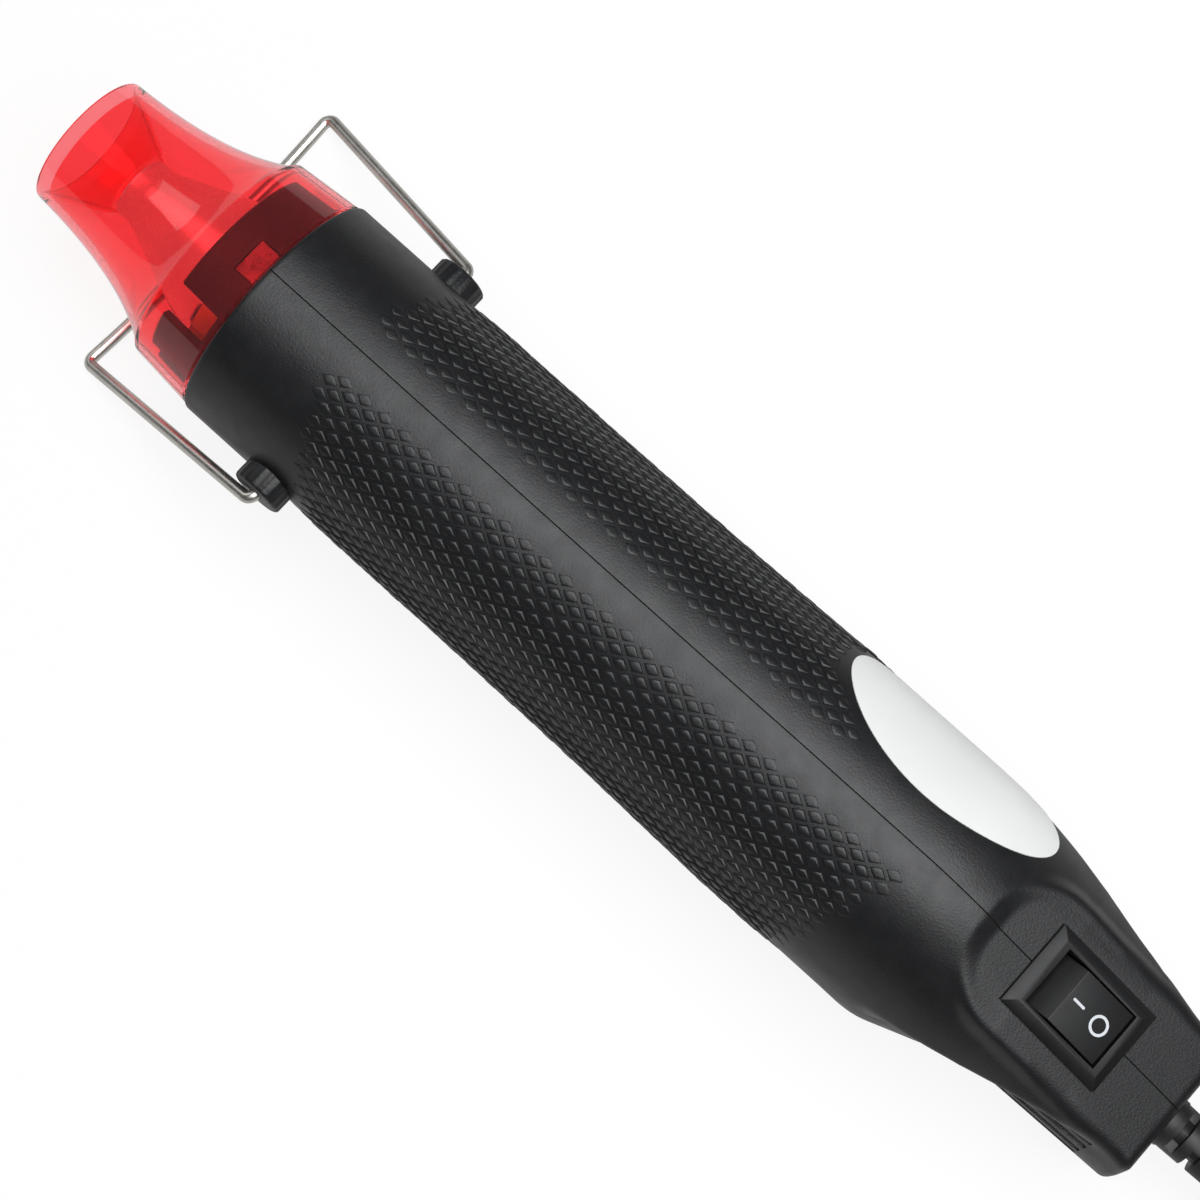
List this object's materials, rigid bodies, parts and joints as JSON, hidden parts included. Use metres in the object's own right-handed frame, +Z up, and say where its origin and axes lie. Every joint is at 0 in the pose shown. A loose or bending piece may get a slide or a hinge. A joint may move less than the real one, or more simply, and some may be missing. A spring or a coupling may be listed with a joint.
{
  "type": "hot air tool",
  "caption": "Hand-held hot air craft tool with black clamshell housing, clear red nozzle guard, wire stand, rocker switch and mains cord",
  "frame": {"origin": "on the table under the barrel, in the seam plane, at the middle of the flat run of the grip swell where the housing rests", "axes": "+X along the barrel and out of the nozzle, +Y to the left side, +Z up, out of the switch face"},
  "size_m": [0.3769, 0.0902, 0.0431],
  "materials": {
    "housing": "fine moulded satin",
    "screw": "plated",
    "guard": "clear red, polished",
    "bright_steel": "bright",
    "dull_steel": "dull",
    "mica": "flaky",
    "winding": "dark drawn wire",
    "white_plastic": "plain",
    "fan": "plain",
    "magnet": "sintered",
    "circuit_board": "plain",
    "switch": "satin to gloss",
    "brass": "plain",
    "wire": "bright drawn wire",
    "cord": "satin"
  },
  "bodies": {
    "tool_body": {"shell_left": "housing", "shell_right": "housing", "housing_screw_1": "screw", "housing_screw_2": "screw", "housing_screw_3": "screw", "housing_screw_4": "screw", "nozzle_guard": "guard", "heat_nozzle": "bright_steel", "nozzle_wrap": "mica", "heater_tube": "dull_steel", "mica_sleeve": "mica", "mica_board_flat": "mica", "mica_board_upright": "mica", "heating_coil": "winding", "thermal_fuse": "white_plastic", "motor_can": "bright_steel", "motor_magnet_lower": "magnet", "motor_magnet_upper": "magnet", "motor_cap": "white_plastic", "rectifier_board": "circuit_board", "rectifier_diode_1": "switch", "rectifier_diode_2": "switch", "rectifier_diode_3": "switch", "rectifier_diode_4": "switch", "switch_body": "switch", "switch_terminal_front": "brass", "switch_terminal_back": "brass", "strain_relief": "cord", "power_cord": "cord", "cord_coil": "cord", "cord_tie": "cord", "cord_tail": "cord", "plug_body": "cord", "plug_pin_left": "bright_steel", "plug_pin_right": "bright_steel"},
    "stand": {"wire_stand": "wire"},
    "rocker": {"switch_rocker": "switch"},
    "fan": {"fan_impeller": "fan", "motor_shaft": "bright_steel", "motor_armature": "dull_steel"}
  },
  "joints": [
    {"name": "stand_swing", "type": "hinge", "parent": "tool_body", "child": "stand", "pos_m": [0.1004, 0, 0.02154], "axis": [0, 1, 0], "range_deg": [-5, 118]},
    {"name": "rocker_tilt", "type": "hinge", "parent": "tool_body", "child": "rocker", "pos_m": [-0.04436, 0, 0.03323], "axis": [0, 1, 0], "range_deg": [-22, 0]},
    {"name": "fan_spin", "type": "hinge", "parent": "tool_body", "child": "fan", "pos_m": [0.0645, 0, 0.02154], "axis": [1, 0, 0], "continuous": true}
  ]
}
